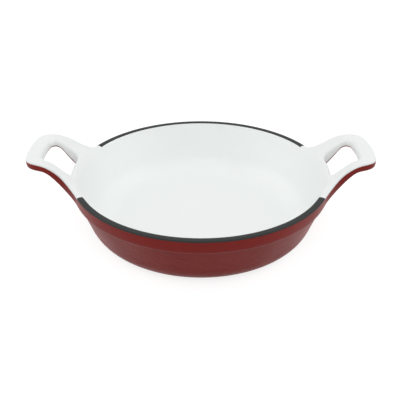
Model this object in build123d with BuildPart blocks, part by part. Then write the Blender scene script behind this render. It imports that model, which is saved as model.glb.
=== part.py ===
from build123d import *
import os
from math import asin, cos, degrees, hypot, radians, sin, tan

# A small round serving dish of enamelled cast iron, with two loop handles cast in one with the bowl.
# Z = 0 is the surface it stands on, Z is its axis and the handles lie along X. Millimetres, degrees.

os.makedirs("parts", exist_ok=True)

# Bowl
rim_radius = 82.5  # outside of the flat rim
rim_width = 3.8  # flat on top of the rim
rim_height = 37.5  # top of the rim above the table
wall_angle = 19.3  # lean of the wall from upright
floor_thickness = 3.7
floor_corner = 13.5  # inside radius between floor and wall
base_corner = 12.8  # outside radius between base and wall
band_depth = 8.8  # thick band round the outside of the rim
band_step = 1.7  # how far the band stands out from the wall under it
band_round = 1.4
band_draft = 3.0  # so that the casting leaves its mould

# Foot ring on the underside
foot_inset = 5.5  # flat of the base left outside the ring
foot_width = 6.0
foot_height = 0.8
foot_round = 0.3

# Loop handles
loop_length = 26.2  # how far a loop stands out from the rim
loop_root_width = 52.4  # across a loop where it leaves the rim
loop_waist = 11.6  # angle by which each side runs in towards the tip
loop_corner = 8.5  # plan radius at the tip
loop_flare = 20.0  # plan radius where a side runs into the rim
flare_sink = 1.0  # how deep in the rim the flares end
lip_height = 1.3  # how far the inner wall carries on above the rim before it turns out
lip_round = 4.9
climb_angle = 39.4  # slope of the turned top as it climbs away from the bowl
climb_rise = 14.9  # height above the rim where the climb and the tip's slope would meet
climb_round = 20.0
tip_angle = 4.5
loop_thickness = 5.55
root_rise = 1.5  # where the underside meets the band, above the band's lower edge
root_sink = 0.4  # how far the underside runs on inside the ends of the flares
root_angle = 50.4
root_round = 8.0
loop_lower_edge = 1.6  # rounding
shoulder_run = 9.4  # how far beyond its side a loop's shoulder has run out into the flat rim
shoulder_round = 14.0

# Finger hole through each loop
strap_width = 9.7  # left round the hole at the tip and at the sides
hole_gap = 0.2  # between the rim's edge and the hole
hole_corner_in = 3.0
hole_corner_out = 4.0
hole_upper_edge = 1.6  # rounding
hole_lower_edge = 1.2

# Enamel
enamel = 0.4
white_lap = 0.7  # how far the white comes down round an upper edge before the red begins
red_lap = 0.8  # how far the red comes up the walls of the finger holes
black_gap = 1.2  # between a loop's shoulder and the black on the rim

# Clear space that the cutting shapes take beyond the casting
beyond = 20.0

inner_rim_radius = rim_radius - rim_width
floor_level = foot_height + floor_thickness
band_bottom = rim_height - band_depth
loop_reach = rim_radius + loop_length
flare_radius = rim_radius - flare_sink
root_radius = flare_radius - root_sink
shoulder_angle = degrees(asin((loop_root_width / 2 + shoulder_run) / rim_radius))
black_arc_end = shoulder_angle + degrees(asin(black_gap / rim_radius))
climb_end = inner_rim_radius + lip_height * tan(radians(wall_angle))
climb_end += (climb_rise - lip_height) / tan(radians(climb_angle))
far_radius = loop_reach + beyond
top_level = rim_height + climb_rise + beyond


def wall_radius(radius_at_top, top, level):
    """Radius of the leaning wall at a level, from its radius at the top."""
    return radius_at_top - (top - level) * tan(radians(wall_angle))


def band_radius(level):
    return rim_radius - (rim_height - level) * tan(radians(band_draft))


def loop_half_width(radius):
    return loop_root_width / 2 - (radius - rim_radius) * tan(radians(loop_waist))


def tip_level(radius):
    """Level of the top of the loop along its tip's slope."""
    return rim_height + climb_rise + (radius - climb_end) * tan(radians(tip_angle))


root_level = band_bottom + root_rise
root_level -= (band_radius(band_bottom + root_rise) - root_radius) * tan(radians(root_angle))
blank_level = root_level - beyond / 2
blank_height = top_level - blank_level
under_band = band_radius(band_bottom) - band_step
base_radius = wall_radius(under_band, band_bottom, foot_height) - base_corner * tan(radians((90 - wall_angle) / 2))
foot_radius = base_radius - foot_inset
hole_reach = loop_reach - strap_width
hole_middle = (rim_radius + hole_gap + hole_reach) / 2
hole_width = 2 * (loop_half_width(hole_middle) - strap_width / cos(radians(loop_waist)))


with BuildSketch(Plane.XZ) as outside:
    # Half section of the bowl's outside, filled, mirrored so that the whole can be offset
    with BuildLine():
        FilletPolyline(
            (0, foot_height),
            (wall_radius(under_band, band_bottom, foot_height), foot_height),
            (under_band, band_bottom),
            (band_radius(band_bottom), band_bottom),
            (rim_radius, rim_height),
            (0, rim_height),
            radius=[base_corner, 0, band_round, 0],
        )
        mirror(about=Plane.YZ)
    make_face()

with BuildSketch(Plane.XZ) as hollow:
    # Everything inside the wall and above the turned tops of the loops
    with BuildLine():
        FilletPolyline(
            (0, floor_level),
            (wall_radius(inner_rim_radius, rim_height, floor_level), floor_level),
            (wall_radius(inner_rim_radius, rim_height, rim_height + lip_height), rim_height + lip_height),
            (climb_end, tip_level(climb_end)),
            (far_radius, tip_level(far_radius)),
            (far_radius, top_level),
            (0, top_level),
            radius=[floor_corner, lip_round, climb_round, 0, 0],
        )
        mirror(about=Plane.YZ)
    make_face()

with BuildSketch(Plane.XZ) as undercut:
    # Everything under the loops, and under the disc that joins them inside the bowl
    root_slope = tan(radians(root_angle))
    tip_underside = tip_level(0) - loop_thickness / cos(radians(tip_angle))
    elbow = tip_underside - root_level + root_radius * root_slope
    elbow /= root_slope - tan(radians(tip_angle))
    with BuildLine():
        FilletPolyline(
            (0, root_level),
            (root_radius, root_level),
            (elbow, root_level + (elbow - root_radius) * root_slope),
            (far_radius, tip_level(far_radius) - loop_thickness / cos(radians(tip_angle))),
            (far_radius, root_level - beyond),
            (0, root_level - beyond),
            radius=[0, root_round, 0, 0],
        )
        mirror(about=Plane.YZ)
    make_face()

with BuildSketch(Plane.XY.offset(blank_level)) as loop_plan:
    # The disc of the bowl with both tongues, flared into it
    with BuildLine():
        Polyline(
            (0, loop_half_width(0)),
            (far_radius, loop_half_width(far_radius)),
            (far_radius, -loop_half_width(far_radius)),
            (0, -loop_half_width(0)),
        )
        mirror(about=Plane.YZ)
    make_face()
    Circle(loop_reach, mode=Mode.INTERSECT)
    Circle(flare_radius)
    corners = loop_plan.vertices().group_by(lambda v: round(Vector(*v).length, 2))
    fillet(corners[-1], loop_corner)
    corners = loop_plan.vertices().filter_by(lambda v: abs(Vector(*v).length - flare_radius) < 0.01)
    fillet(corners, loop_flare)

with BuildSketch(Plane.XY.offset(blank_level)) as finger_holes:
    Rectangle(2 * far_radius, hole_width)
    Circle(hole_reach, mode=Mode.INTERSECT)
    Circle(rim_radius + hole_gap, mode=Mode.SUBTRACT)
    corners = finger_holes.vertices().group_by(lambda v: round(Vector(*v).length, 2))
    fillet(corners[0], hole_corner_in)
    corners = finger_holes.vertices().group_by(lambda v: round(Vector(*v).length, 2))
    fillet(corners[-1], hole_corner_out)

shoulder_plane = Plane.YZ.rotated((0, 0, shoulder_angle))
with BuildSketch(shoulder_plane) as shoulder:
    # Everything above the flat rim, beside one shoulder of a loop
    with BuildLine():
        FilletPolyline(
            (-shoulder_round, top_level),
            (-shoulder_round, rim_height),
            (far_radius, rim_height),
            (far_radius, top_level),
            radius=[0, shoulder_round, 0, 0],
            close=True,
        )
    make_face()


def shrunk(sketch, skin):
    """The sketch with `skin` taken off its outline, or added where skin is negative."""
    if skin == 0:
        return sketch
    return offset(sketch, amount=-skin, kind=Kind.INTERSECTION, mode=Mode.PRIVATE)


def right_half(sketch):
    return split(sketch, bisect_by=Plane.YZ, mode=Mode.PRIVATE)


def from_axis(shape):
    return hypot(shape.center().X, shape.center().Y)


def faces_up(face):
    return face.normal_at(face.center()).Z > 0.2


def slopes_down(face):
    return -1 < face.normal_at(face.center()).Z < -0.2


def border(faces):
    """Edges round the outside of a group of faces, beyond the disc of the bowl, without cone seams."""
    edges = faces.edges()
    lone = ShapeList(e for e in edges if edges.count(e) == 1)
    return lone.filter_by(lambda e: from_axis(e) > flare_radius + enamel and e.geom_type != GeomType.LINE)


def round_holes(edges):
    """Those of the edges that run round a finger hole."""
    beside = edges.filter_by(lambda e: abs(e.center().Y) < hole_width / 2 + enamel)
    return beside.filter_by(lambda e: from_axis(e) < hole_reach + enamel)


def above_rim(skin):
    """Everything above the flat rim, less `skin`, from each loop's shoulders to the other's."""
    with BuildPart() as clear:
        extrude(shrunk(shoulder.sketch, skin), amount=far_radius)
        mirror(about=Plane.XZ)
        mirror(about=Plane.YZ)
    return clear.part


def cast_dish(skin):
    """The whole dish less `skin` all over: with no skin it is the enamelled outside."""
    clear = above_rim(-skin)
    with BuildPart() as dish:
        # Loops, and the disc that joins them inside the band
        extrude(shrunk(loop_plan.sketch, skin), amount=blank_height)
        revolve(right_half(shrunk(undercut.sketch, -skin)), axis=Axis.Z, mode=Mode.SUBTRACT)
        fillet(border(dish.faces().filter_by(slopes_down)), loop_lower_edge - skin)
        add(clear, mode=Mode.SUBTRACT)
        # Bowl
        revolve(right_half(shrunk(outside.sketch, skin)), axis=Axis.Z)
        revolve(right_half(shrunk(hollow.sketch, -skin)), axis=Axis.Z, mode=Mode.SUBTRACT)
        # Finger holes
        extrude(shrunk(finger_holes.sketch, -skin), amount=blank_height, mode=Mode.SUBTRACT)
        fillet(round_holes(border(dish.faces().filter_by(faces_up))), hole_upper_edge - skin)
        fillet(round_holes(border(dish.faces().filter_by(slopes_down))), hole_lower_edge - skin)
    return dish.part


finished = cast_dish(0)
bare = cast_dish(enamel)

with BuildPart() as coat:
    add(finished)
    add(bare, mode=Mode.SUBTRACT)

with BuildPart() as foot:
    with BuildSketch():
        Circle(foot_radius)
        Circle(foot_radius - foot_width, mode=Mode.SUBTRACT)
    extrude(amount=foot_height + enamel)
    fillet(foot.faces().sort_by(Axis.Z)[0].edges(), foot_round)

with BuildSketch() as rim_sectors:
    # Front and back of the rim, between the loops
    across = far_radius * cos(radians(black_arc_end))
    along = far_radius * sin(radians(black_arc_end))
    with BuildLine():
        Polyline((0, 0), (across, along), (0, 2 * far_radius), (-across, along), close=True)
    make_face()
    mirror(about=Plane.XZ)

with BuildPart() as rim_zone:
    with BuildSketch(Plane.XY.offset(rim_height - enamel)):
        add(rim_sectors.sketch)
        Circle(inner_rim_radius - enamel, mode=Mode.SUBTRACT)
    extrude(amount=beyond)

with BuildPart() as white_zone:
    # Shoulders of the loops and the rim between them and the black
    add(above_rim(-white_lap))
    extrude(rim_sectors.sketch, amount=top_level + beyond, mode=Mode.SUBTRACT)
    # Walls of the finger holes, with their rounded upper edges
    extrude(shrunk(finger_holes.sketch, -hole_upper_edge - enamel), amount=blank_height)
    revolve(right_half(shrunk(undercut.sketch, -red_lap)), axis=Axis.Z, mode=Mode.SUBTRACT)
    # Inside of the bowl and the turned tops of the loops
    revolve(right_half(shrunk(hollow.sketch, -white_lap)), axis=Axis.Z)

with BuildPart() as iron_casting:
    add(bare)
    add(foot.part)

with BuildPart() as white_enamel_lining:
    add(coat.part)
    add(white_zone.part, mode=Mode.INTERSECT)
    add(rim_zone.part, mode=Mode.SUBTRACT)

with BuildPart() as rim_enamel:
    add(coat.part)
    add(rim_zone.part, mode=Mode.INTERSECT)

with BuildPart() as rim_enamel_front:
    add(rim_enamel.part.solids().sort_by(Axis.Y)[0])

with BuildPart() as rim_enamel_back:
    add(rim_enamel.part.solids().sort_by(Axis.Y)[-1])

with BuildPart() as red_enamel:
    add(coat.part)
    add(white_zone.part, mode=Mode.SUBTRACT)
    add(rim_zone.part, mode=Mode.SUBTRACT)
    add(foot.part, mode=Mode.SUBTRACT)

with BuildPart() as red_enamel_shell:
    add(red_enamel.part.solids().sort_by(SortBy.VOLUME)[-1])

with BuildPart() as red_enamel_base:
    add(red_enamel.part.solids().sort_by(SortBy.VOLUME)[0])

pieces = {
    "iron_casting": iron_casting,
    "white_enamel_lining": white_enamel_lining,
    "red_enamel_shell": red_enamel_shell,
    "red_enamel_base": red_enamel_base,
    "rim_enamel_front": rim_enamel_front,
    "rim_enamel_back": rim_enamel_back,
}
for name, piece in pieces.items():
    piece.part.label = name
    export_step(piece.part, f"parts/{name}.step")
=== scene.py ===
import math
import bmesh
import bpy
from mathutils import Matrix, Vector
from mathutils.bvhtree import BVHTree


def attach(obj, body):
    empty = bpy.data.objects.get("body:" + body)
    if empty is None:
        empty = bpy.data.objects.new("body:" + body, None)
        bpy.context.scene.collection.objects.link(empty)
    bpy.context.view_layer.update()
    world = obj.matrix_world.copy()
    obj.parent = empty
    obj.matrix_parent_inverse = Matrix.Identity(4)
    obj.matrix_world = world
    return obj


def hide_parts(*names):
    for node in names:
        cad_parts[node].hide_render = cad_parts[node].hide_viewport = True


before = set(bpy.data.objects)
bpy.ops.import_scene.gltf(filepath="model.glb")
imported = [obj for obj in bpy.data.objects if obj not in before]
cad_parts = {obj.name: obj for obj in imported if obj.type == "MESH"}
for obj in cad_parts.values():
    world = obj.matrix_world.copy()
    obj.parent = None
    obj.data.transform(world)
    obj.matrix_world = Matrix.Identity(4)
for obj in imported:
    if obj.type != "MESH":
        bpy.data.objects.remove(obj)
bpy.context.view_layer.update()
print("frame loaded:", ", ".join(sorted(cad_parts)))

mm = 0.001  # sizes are in millimetres unless a line says otherwise
perMetre = 1000  # divided by a pattern's size in millimetres, gives its scale


def srgb(hexColour):
    parts = [int(hexColour[i:i + 2], 16) / 255 for i in (0, 2, 4)]
    return [p / 12.92 if p <= 0.04045 else ((p + 0.055) / 1.055) ** 2.4 for p in parts] + [1.0]


def addNode(tree, kind, settings=None, links=None):
    node = tree.nodes.new(kind)
    for key, value in (settings or {}).items():
        if key in node.inputs:
            node.inputs[key].default_value = value
        else:
            setattr(node, key, value)
    for key, source in (links or {}).items():
        tree.links.new(source, node.inputs[key])
    return node


def newMaterial(name):
    material = bpy.data.materials.new(name)
    material.use_nodes = True
    material.node_tree.nodes.clear()
    return material, material.node_tree


# Slow clouds shift the colour and the shine, and a fine grain or orange peel makes the bump
def cookwareFinish(name, look):
    material, tree = newMaterial(name)
    place = addNode(tree, "ShaderNodeTexCoord").outputs["Object"]
    cloud = addNode(tree, "ShaderNodeTexNoise",
                    {"Scale": perMetre / look["cloudSize"], "Detail": look["cloudDetail"]}, {"Vector": place})
    colour = addNode(tree, "ShaderNodeMix", {"data_type": "RGBA"})
    colour.inputs[6].default_value = srgb(look["colour"])  # the mix node's colour sockets are 6, 7 and out 2
    colour.inputs[7].default_value = srgb(look["thin"])
    tree.links.new(cloud.outputs["Fac"], colour.inputs[0])
    gloss = addNode(tree, "ShaderNodeMapRange", {"To Min": look["gloss"][0], "To Max": look["gloss"][1]},
                    {"Value": cloud.outputs["Fac"]})
    grain = addNode(tree, "ShaderNodeTexNoise",
                    {"Scale": perMetre / look["grainSize"], "Detail": look["grainDetail"], "normalize": False},
                    {"Vector": place})
    bump = addNode(tree, "ShaderNodeBump", {"Strength": look["grain"], "Distance": look["grainDepth"] * mm},
                   {"Height": grain.outputs["Fac"]})
    shader = addNode(tree, "ShaderNodeBsdfPrincipled", look["body"],
                     {"Base Color": colour.outputs[2], "Normal": bump.outputs["Normal"],
                      "Roughness": gloss.outputs["Result"]})
    addNode(tree, "ShaderNodeOutputMaterial", links={"Surface": shader.outputs["BSDF"]})
    return material


# Vitreous enamel fired smooth: an even, faintly cool white with soft highlights and a trace of orange peel
whiteEnamel = cookwareFinish("white vitreous enamel, fired glossy", {
    "colour": "F8FBFA", "thin": "F6F9F8", "cloudSize": 30, "cloudDetail": 0, "gloss": (0.38, 0.44),
    "grainSize": 4, "grainDetail": 1, "grain": 0.12, "grainDepth": 0.2, "body": {"IOR": 1.5}})
# Enamel fired thin over the rough casting: deep red that darkens in slow clouds, with a satin shine
redEnamel = cookwareFinish("oxblood enamel, fired satin", {
    "colour": "932923", "thin": "7E221D", "cloudSize": 18, "cloudDetail": 2, "gloss": (0.34, 0.48),
    "grainSize": 2.5, "grainDetail": 1, "grain": 0.3, "grainDepth": 0.2, "body": {"IOR": 1.25}})
# Matt enamel wiped back on the flat of the rim: a near-black line with almost no shine
blackEnamel = cookwareFinish("matt black rim enamel", {
    "colour": "1E2120", "thin": "272A29", "cloudSize": 10, "cloudDetail": 1, "gloss": (0.5, 0.65),
    "grainSize": 2, "grainDetail": 1, "grain": 0.3, "grainDepth": 0.2, "body": {"IOR": 1.38}})
# Cast iron ground flat under the foot: dull grey metal with fine grinding grain
groundIron = cookwareFinish("ground bare cast iron", {
    "colour": "55565A", "thin": "3E3F42", "cloudSize": 5, "cloudDetail": 4, "gloss": (0.42, 0.62),
    "grainSize": 0.6, "grainDetail": 2, "grain": 0.5, "grainDepth": 0.1, "body": {"Metallic": 1.0}})
white, red, black, iron = range(4)
coats = (whiteEnamel, redEnamel, blackEnamel, groundIron)
print("finishes made:", len(coats))

# One quarter is drawn, between a loop's middle (X) and the middle of the bowl (Y)
dish = {
    "floorLevel": 4.5, "floorRows": (0, 18, 36, 50), "floorRound": 13.5, "floorRoundMiddle": (57.57, 18.0),
    "wallLean": 19.3, "wallRows": (19, 26, 32), "wallTopRow": 1.6,  # the last is below the top of the rim
    "rimHeight": 37.5, "rimInner": 78.7, "rimFlat": 80.3, "rimOuter": 82.5, "rimEdge": 0.4, "rimDraft": 0.02,
    "bandUpper": (82.3, 33.6), "bandByRoot": 82.12, "bandBottom": 28.7, "bandFoot": 82.04,
    "bandRound": (0.35, 0.4, 1.0), "bandStep": 80.34, "stepRound": 0.1, "belowBand": 28.1,
    "outsideRows": (25, 19, 13), "baseLevel": 0.8, "baseRound": 12.8, "baseRoundMiddle": (61.49, 13.6),
    "footOuter": 56.0, "footInner": 50.0, "footEdge": 0.25, "baseRows": (32, 16, 0),
    "roundSteps": 4, "rimColumns": 12,
}
loop = {
    "columns": (0, 3.4, 6.6, 9.7, 14.4, 19.0, 23.4, 26.4),  # degrees from the loop's middle; black begins at the last
    "holeColumn": 3, "flareColumn": 6,
    "softWall": (29.5, 32.6, 35.4), "softDrop": 0.25,  # levels of the wall's upper rows, and its rounded lip
    "topByHole": (79.8, 80.9, 82.1), "topBeside": (79.9, 81.0, 82.2),
    "firmByHole": 81.3, "firmBesideHole": 2.4,  # the CAD's levels are read here, clear of its rounded hole edge
    "undersideRoot": 30.3, "rootOuter": 82.6,
    "holeWhiteFoot": 32.15, "holeHalf": 14.58, "holeHalfAtWall": 13.98, "holeMiddle": 90,
    "holeWallProud": (0.4, 0.2),  # keeps the hole's wall by the bowl clear of the casting's edge
    "topEdge": 0.42, "holeTopEdge": 1.4, "lowerEdge": 0.95, "holeLowerEdge": 0.8,
    "holeIn": 0.5, "holeInAtTip": 0.3, "holeDraft": 0.9,  # how far the hole is drawn in, and the share left at the tip
    "holeCorner": -0.2,  # less than nothing opens the corner
    "armPlaces": ((85.0, 101), (87.2, 96.5), (89.3, 92)), "armBack": 6.0, "armMiddle": 10.5,
    "cornerMiddle": (90.2, 6.4), "cornerTurns": (80, 68, 56, 44, 32, 18), "tipMiddle": 13.5,
    "tipPlaces": (6.0, 3.0, 0.0),  # from the corner to the loop's middle
}


# Points of a cage round an arc, set out so that the smoothed surface lands on it
def arc(middle, radius, start, end):
    turn = math.radians(end - start) / dish["roundSteps"]
    cageRadius = radius * (1 + turn * turn / 6)
    angles = [math.radians(start) + turn * i for i in range(dish["roundSteps"] + 1)]
    return [(middle[0] + cageRadius * math.cos(a), middle[1] + cageRadius * math.sin(a)) for a in angles]


def wallInside(level):
    return dish["rimInner"] - (dish["rimHeight"] - level) * math.tan(math.radians(dish["wallLean"]))


def wallOutside(level):
    return dish["bandStep"] - (dish["bandBottom"] - level) * math.tan(math.radians(dish["wallLean"]))


edge, top, foot, lean, base = (dish[key] for key in ("rimEdge", "rimHeight", "footEdge", "wallLean", "baseLevel"))
footOuter, footInner = dish["footOuter"], dish["footInner"]
bandFoot, bandBottom = dish["bandFoot"], dish["bandBottom"]
inside = [(r, dish["floorLevel"]) for r in dish["floorRows"]]
inside += arc(dish["floorRoundMiddle"], dish["floorRound"], -90, -lean)
inside += [(wallInside(level), level) for level in (*dish["wallRows"], top - dish["wallTopRow"])]
rim = [(wallInside(top - edge), top - edge), (dish["rimInner"] + edge, top), (dish["rimFlat"], top),
       (dish["rimOuter"] - edge, top), (dish["rimOuter"] - dish["rimDraft"], top - edge), dish["bandUpper"],
       (dish["bandByRoot"], loop["undersideRoot"])]
roundIn, roundUp, roundFlat = dish["bandRound"]
band = [(bandFoot - roundIn, bandBottom + roundUp), (bandFoot - roundFlat, bandBottom),
        (dish["bandStep"] + dish["stepRound"], bandBottom), (wallOutside(dish["belowBand"]), dish["belowBand"])]
outside = [(wallOutside(level), level) for level in dish["outsideRows"]]
outside += arc(dish["baseRoundMiddle"], dish["baseRound"], -lean, -90)
ring = [(footOuter + foot, base), (footOuter, base - foot), (footOuter, foot), (footOuter - foot, 0),
        ((footOuter + footInner) / 2, 0), (footInner + foot, 0), (footInner, foot),
        (footInner, base - foot), (footInner - foot, base)]
section = inside + rim + band + outside + ring + [(r, base) for r in dish["baseRows"]]
firstRim, firstBand = len(inside), len(inside) + len(rim)
firstRing = firstBand + len(band) + len(outside)
lastRing = firstRing + len(ring) - 1
wallEdge, innerEdge, rimMiddle, outerEdge, bandTop, bandMiddle, bandRoot = range(firstRim, firstBand)

solidMesh = bmesh.new()
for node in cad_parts.values():
    solidMesh.from_mesh(node.data)
solid = BVHTree.FromBMesh(solidMesh)
probe = {"above": 200, "below": -50, "outside": 60}
# The two welds are in metres, smoothAngle in degrees
shaping = {"weld": 1e-6, "mirrorWeld": 1e-5, "smoothing": 2, "smoothAngle": 40, "onAxis": 0.01}


# Where a line from a point first meets the CAD solid
def reach(start, direction):
    return solid.ray_cast(Vector(start) * mm, Vector(direction))[0] / mm


def topLevel(x, y):
    return reach((x, y, probe["above"]), (0, 0, -1)).z


def underLevel(x, y):
    return reach((x, y, probe["below"]), (0, 0, 1)).z


def choose(piece):
    bpy.ops.object.select_all(action="DESELECT")
    piece.select_set(True)
    bpy.context.view_layer.objects.active = piece


def editAll(piece):
    choose(piece)
    bpy.ops.object.mode_set(mode="EDIT")
    bpy.ops.mesh.select_all(action="SELECT")


def closeSeams():
    bpy.ops.mesh.select_all(action="SELECT")
    bpy.ops.mesh.remove_doubles(threshold=shaping["weld"])
    bpy.ops.mesh.normals_make_consistent(inside=False)
    bpy.ops.object.mode_set(mode="OBJECT")


def applyModifier(piece, kind, settings):
    choose(piece)
    bpy.ops.object.modifier_add(type=kind)
    modifier = piece.modifiers[-1]
    for key, value in settings.items():
        setattr(modifier, key, value)
    bpy.ops.object.modifier_apply(modifier=modifier.name)


# Section spun round the axis: fine columns beside the loop, wider ones round the rim
quarterMesh = bpy.data.meshes.new("quarter")
quarterMesh.from_pydata([(r * mm, 0, z * mm) for r, z in section], [(i, i + 1) for i in range(len(section) - 1)], [])
quarter = bpy.data.objects.new("quarter", quarterMesh)
bpy.context.scene.collection.objects.link(quarter)
loopSteps = len(loop["columns"]) - 1
loopEnd = loop["columns"][-1]
editAll(quarter)
for steps, sweep in ((loopSteps, loopEnd), (dish["rimColumns"], 90 - loopEnd)):
    bpy.ops.mesh.spin(steps=steps, angle=math.radians(sweep), center=(0, 0, 0), axis=(0, 0, 1))
cage = bmesh.from_edit_mesh(quarter.data)
step = math.radians(loopEnd) / loopSteps
rowOf, columnOf = {}, {}
for v in cage.verts:
    v.co.y = abs(v.co.y)
    r, angle = math.hypot(v.co.x, v.co.y) / mm, math.atan2(v.co.y, v.co.x)
    rowOf[v] = min(range(len(section)), key=lambda i: math.hypot(section[i][0] - r, section[i][1] - v.co.z / mm))
    if r < shaping["onAxis"]:
        continue
    columnOf[v] = min(round(angle / step), loopSteps + 1)
    if columnOf[v] <= loopSteps:
        turn = math.radians(loop["columns"][columnOf[v]])
        v.co = Vector((r * math.cos(turn), r * math.sin(turn), v.co.z / mm)) * mm
print("section spun:", len(cage.verts), "points")

# Colours of the spun faces: black on the flat of the rim beyond the loop, white inside, red outside
for face in cage.faces:
    row = min(rowOf[v] for v in face.verts)
    column = min(columnOf.get(v, loopSteps + 1) for v in face.verts)
    byHole = column < loop["holeColumn"]
    if row < wallEdge or (row < bandTop and column < loopSteps) or (row == bandTop and byHole):
        face.material_index = white
    elif row < bandTop:
        face.material_index = black
    else:
        face.material_index = iron if firstRing <= row < lastRing else red

# Top of the rim beside the loop, lifted to the turned top and the shoulder, and the walls of the finger hole
grid = {(rowOf[v], column): v for v, column in columnOf.items() if column <= loopSteps}


def put(row, column, x, y, z):
    grid[row, column].co = Vector((x, y, z)) * mm


for column in range(loop["flareColumn"] + 1):
    turn = math.radians(loop["columns"][column])
    ux, uy = math.cos(turn), math.sin(turn)
    byHole = column <= loop["holeColumn"]
    for row, level in zip((wallEdge - 2, wallEdge - 1, wallEdge), loop["softWall"]):
        put(row, column, wallInside(level) * ux, wallInside(level) * uy, level)
    for row, r in zip((innerEdge, rimMiddle, outerEdge), loop["topByHole"] if byHole else loop["topBeside"]):
        firm = min(r, loop["firmByHole"]) if byHole else r
        put(row, column, r * ux, r * uy, topLevel(firm * ux, firm * uy))
    grid[innerEdge, column].co.z -= loop["softDrop"] * mm
    edgeLevel = grid[outerEdge, column].co.z / mm
    if byHole:
        y = min(dish["rimOuter"] * uy, loop["holeHalfAtWall"])
        levels = (edgeLevel - loop["holeTopEdge"], loop["holeWhiteFoot"])
        for row, level, proud in zip((bandTop, bandMiddle), levels, loop["holeWallProud"]):
            put(row, column, reach((loop["holeMiddle"], y, level), (-1, 0, 0)).x + proud, y, level)
    else:
        put(bandTop, column, loop["rootOuter"] * ux, loop["rootOuter"] * uy, edgeLevel - loop["topEdge"])

# Faces of the band where the loop's root leaves it
bpy.ops.mesh.select_all(action="DESELECT")
bpy.ops.mesh.select_mode(type="FACE")
rootRows = (outerEdge, bandTop, bandMiddle, bandRoot)
rootColumns = range(loop["holeColumn"], loop["flareColumn"] + 1)
cap = {(i, j): grid[row, column] for i, row in enumerate(rootRows) for j, column in enumerate(rootColumns)}
root = set(cap.values())
for face in cage.faces:
    face.select = all(v in root for v in face.verts)

# Stations along the loop: a point by the hole, the way across the strap in degrees, how far the line across
# starts behind the point, and about how far along it the strap's middle is
stations = [((x, loop["holeHalf"]), turn, loop["armBack"], loop["armMiddle"]) for x, turn in loop["armPlaces"]]
stations += [(loop["cornerMiddle"], turn, 0.0, loop["tipMiddle"]) for turn in loop["cornerTurns"]]
stations += [((loop["cornerMiddle"][0], y), 0, 0.0, loop["tipMiddle"]) for y in loop["tipPlaces"]]


def thirds(start, end):
    return [start, start + (end - start) / 3, start + (end - start) * 2 / 3, end]


# Sixteen places across the strap: rows 0 to 3 from its top to its underside, columns 0 to 3 from the hole outwards
def strapSection(start, turn, back, middle, arm):
    across = Vector((math.cos(math.radians(turn)), math.sin(math.radians(turn)), 0))
    origin = Vector((start[0], start[1], 0)) - across * back
    guess = origin + across * middle
    level = (topLevel(guess.x, guess.y) + underLevel(guess.x, guess.y)) / 2
    far = origin + across * probe["outside"]
    inner = (reach((origin.x, origin.y, level), across).xy - origin.xy).length
    outer = (reach((far.x, far.y, level), -across).xy - origin.xy).length
    share = loop["holeInAtTip"] + (1 - loop["holeInAtTip"]) * arm
    corner = math.sin(math.radians(2 * turn)) ** 2
    high = inner - loop["holeIn"] * share - loop["holeCorner"] * corner
    low = high - loop["holeDraft"] * arm
    firm = inner + loop["firmBesideHole"]
    tops = thirds(high + loop["holeTopEdge"], outer - loop["topEdge"])
    lows = thirds(low + loop["holeLowerEdge"], outer - loop["lowerEdge"])
    places = {}
    for row, distances, levelAt in ((0, tops, topLevel), (3, lows, underLevel)):
        for column, distance in enumerate(distances):
            spot, read = origin + across * distance, origin + across * max(distance, firm)
            places[row, column] = Vector((spot.x, spot.y, levelAt(read.x, read.y)))
    for column, upper, lower, down, up in ((0, high, low, loop["holeTopEdge"], loop["holeLowerEdge"]),
                                           (3, outer, outer, loop["topEdge"], loop["lowerEdge"])):
        for row, distance, faceRow, rise in ((1, upper, 0, -down), (2, lower, 3, up)):
            spot = origin + across * distance
            places[row, column] = Vector((spot.x, spot.y, places[faceRow, column].z + rise))
    for row in (1, 2):
        for column in (1, 2):
            places[row, column] = places[row, 0].lerp(places[row, 3], column / 3)
    return places


# The root's faces drawn out along the stations; white runs over the strap's top and down its two upper sides
whiteRun = ((2, 0), (1, 0), (0, 0), (0, 1), (0, 2), (0, 3), (1, 3))
for i, station in enumerate(stations):
    arm = 1 - i / (len(stations) - 1)
    before = {key: v.co.copy() for key, v in cap.items()}
    bpy.ops.mesh.extrude_region_move(TRANSFORM_OT_translate={"value": (0, 0, 0)})
    cage = bmesh.from_edit_mesh(quarter.data)
    fresh = [v for v in cage.verts if v.select]
    cap = {key: min(fresh, key=lambda v: (v.co - place).length) for key, place in before.items()}
    for key, place in strapSection(*station, arm).items():
        cap[key].co = place * mm
    whitePairs = [{cap[a], cap[b]} for a, b in zip(whiteRun, whiteRun[1:])]
    for v in fresh:
        for face in v.link_faces:
            if not face.select:
                own = {w for w in face.verts if w.select}
                face.material_index = white if own in whitePairs else red
bpy.ops.mesh.delete(type="FACE")  # the cap at the loop's middle, where the mirror joins
bmesh.update_edit_mesh(quarter.data)
print("strap drawn out:", len(bmesh.from_edit_mesh(quarter.data).verts), "points")
closeSeams()

for coat in coats:
    quarter.data.materials.append(coat)
applyModifier(quarter, "MIRROR", {"use_axis": (True, True, False), "merge_threshold": shaping["mirrorWeld"]})
editAll(quarter)
closeSeams()
applyModifier(quarter, "SUBSURF", {"levels": shaping["smoothing"], "render_levels": shaping["smoothing"]})
print("whole dish:", len(quarter.data.polygons), "faces")

# The casting is the same surface less the enamel's thickness, and bare at the foot
coating = {"thickness": 0.4, "gap": 0.02, "baseBelow": 2}  # the last tells the base's enamel from the shell's
casting = quarter.copy()
casting.data = quarter.data.copy()
bpy.context.scene.collection.objects.link(casting)
bare = {i for face in casting.data.polygons if face.material_index == iron for i in face.vertices}
depth = (coating["thickness"] + coating["gap"]) * mm
inward = {v.index: v.normal * depth for v in casting.data.vertices if v.index not in bare}
for i, shift in inward.items():
    casting.data.vertices[i].co -= shift
casting.data.materials.clear()
casting.data.materials.append(groundIron)


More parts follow.
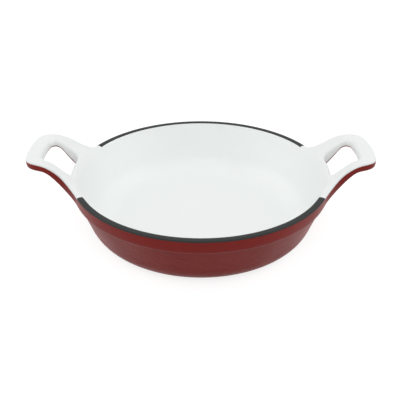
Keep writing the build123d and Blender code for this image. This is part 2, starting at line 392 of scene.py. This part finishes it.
def separated(piece, way):
    editAll(piece)
    bpy.ops.mesh.separate(type=way)
    bpy.ops.object.mode_set(mode="OBJECT")
    return list(bpy.context.selected_objects)


def coatOf(piece):
    return piece.data.materials[piece.data.polygons[0].material_index]


parts = [part for shell in separated(quarter, "MATERIAL") for part in separated(shell, "LOOSE")]
named = {}
for part in parts:
    if coatOf(part) == groundIron:
        bpy.data.objects.remove(part)
    elif coatOf(part) == whiteEnamel:
        named["whiteLining"] = part
    elif coatOf(part) == blackEnamel:
        middle = sum(v.co.y for v in part.data.vertices) / len(part.data.vertices)
        named["blackRimFront" if middle < 0 else "blackRimBack"] = part
    else:
        highest = max(v.co.z for v in part.data.vertices)
        named["redBase" if highest < coating["baseBelow"] * mm else "redShell"] = part
named["ironCasting"] = casting
print("coats:", len(parts), sorted(named))

# The CAD node that each piece stands for, and its material slot
homes = {"whiteLining": ("white_enamel_lining", "white_enamel"), "redShell": ("red_enamel_shell", "red_enamel"),
         "redBase": ("red_enamel_base", "red_enamel"), "blackRimFront": ("rim_enamel_front", "black_enamel"),
         "blackRimBack": ("rim_enamel_back", "black_enamel"), "ironCasting": ("iron_casting", "bare_iron")}
for name, part in named.items():
    part.name = name
    if part != casting:
        coat = coatOf(part)
        part.data.materials.clear()
        part.data.materials.append(coat)
        applyModifier(part, "SOLIDIFY", {"thickness": coating["thickness"] * mm, "offset": -1.0})
    choose(part)
    bpy.ops.object.shade_smooth_by_angle(angle=math.radians(shaping["smoothAngle"]))
    node, slotName = homes[name]
    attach(part, "root")
    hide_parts(node)
    print(name, len(part.data.polygons), "faces")

# A pale sweep under soft light from above, both sides and the front; lengths here are in metres
studio = {"floorSize": 8.0, "floorColour": "AEAEAE", "floorLift": 0.79, "roomStrength": 0.50, "backdropStrength": 1.0,
          "lampTarget": (0, 0, 0.02)}
lamps = {  # place, width and power in watts
    "overheadKey": ((0, 0.1, 1.1), 1.4, 2.0), "leftFill": ((-0.85, 0.1, 0.5), 0.8, 1.8),
    "rightFill": ((0.85, 0.1, 0.5), 0.8, 1.8), "frontFill": ((0, -0.75, 0.85), 0.8, 2.2),
}
lens = {"focal": 50.109, "sensor": 36.0, "place": (-0.0006, -0.32175, 0.2031), "pitch": 30.38}
plainWhite = (1, 1, 1, 1)


# 1 where the camera sees a thing straight, or in metal or glass, and 0 where it only lights the dish
def seenOrMirrored(tree):
    ray = addNode(tree, "ShaderNodeLightPath")
    seen = ray.outputs["Is Camera Ray"]
    for other in ("Is Glossy Ray", "Is Transmission Ray"):
        either = addNode(tree, "ShaderNodeMath", {"operation": "MAXIMUM"})
        tree.links.new(seen, either.inputs[0])
        tree.links.new(ray.outputs[other], either.inputs[1])
        seen = either.outputs[0]
    return seen


bpy.ops.mesh.primitive_plane_add(size=studio["floorSize"], location=(0, 0, 0))
floor = bpy.context.object
floor.name = "studioFloor"
material, tree = newMaterial("white paper floor")
lift = addNode(tree, "ShaderNodeMath", {"operation": "MULTIPLY"})
tree.links.new(seenOrMirrored(tree), lift.inputs[0])
lift.inputs[1].default_value = studio["floorLift"]
paper = addNode(tree, "ShaderNodeBsdfDiffuse", {"Color": srgb(studio["floorColour"])})
glow = addNode(tree, "ShaderNodeEmission", {}, {"Strength": lift.outputs[0]})
sheet = addNode(tree, "ShaderNodeAddShader")
tree.links.new(paper.outputs[0], sheet.inputs[0])
tree.links.new(glow.outputs[0], sheet.inputs[1])
addNode(tree, "ShaderNodeOutputMaterial", links={"Surface": sheet.outputs[0]})
floor.data.materials.append(material)

world = bpy.data.worlds.new("studio")
bpy.context.scene.world = world
world.use_nodes = True
world.node_tree.nodes.clear()
tree = world.node_tree
pick = addNode(tree, "ShaderNodeMixShader")
tree.links.new(seenOrMirrored(tree), pick.inputs[0])
for socket, strength in ((1, studio["roomStrength"]), (2, studio["backdropStrength"])):
    glow = addNode(tree, "ShaderNodeBackground", {"Color": plainWhite, "Strength": strength})
    tree.links.new(glow.outputs[0], pick.inputs[socket])
addNode(tree, "ShaderNodeOutputWorld", links={"Surface": pick.outputs[0]})

for name, (place, size, power) in lamps.items():
    lamp = bpy.data.lights.new(name, "AREA")
    lamp.shape = "DISK"
    lamp.size = size
    lamp.energy = power
    softbox = bpy.data.objects.new(name, lamp)
    bpy.context.scene.collection.objects.link(softbox)
    softbox.location = place
    softbox.rotation_euler = (Vector(studio["lampTarget"]) - Vector(place)).to_track_quat("-Z", "Y").to_euler()

cameraData = bpy.data.cameras.new("camera")
cameraData.lens = lens["focal"]
cameraData.sensor_width = lens["sensor"]
camera = bpy.data.objects.new("camera", cameraData)
bpy.context.scene.collection.objects.link(camera)
camera.location = lens["place"]
camera.rotation_euler = (math.radians(90 - lens["pitch"]), 0, 0)
bpy.context.scene.camera = camera
bpy.context.scene.view_settings.view_transform = "Standard"
print("stage, light and camera set")
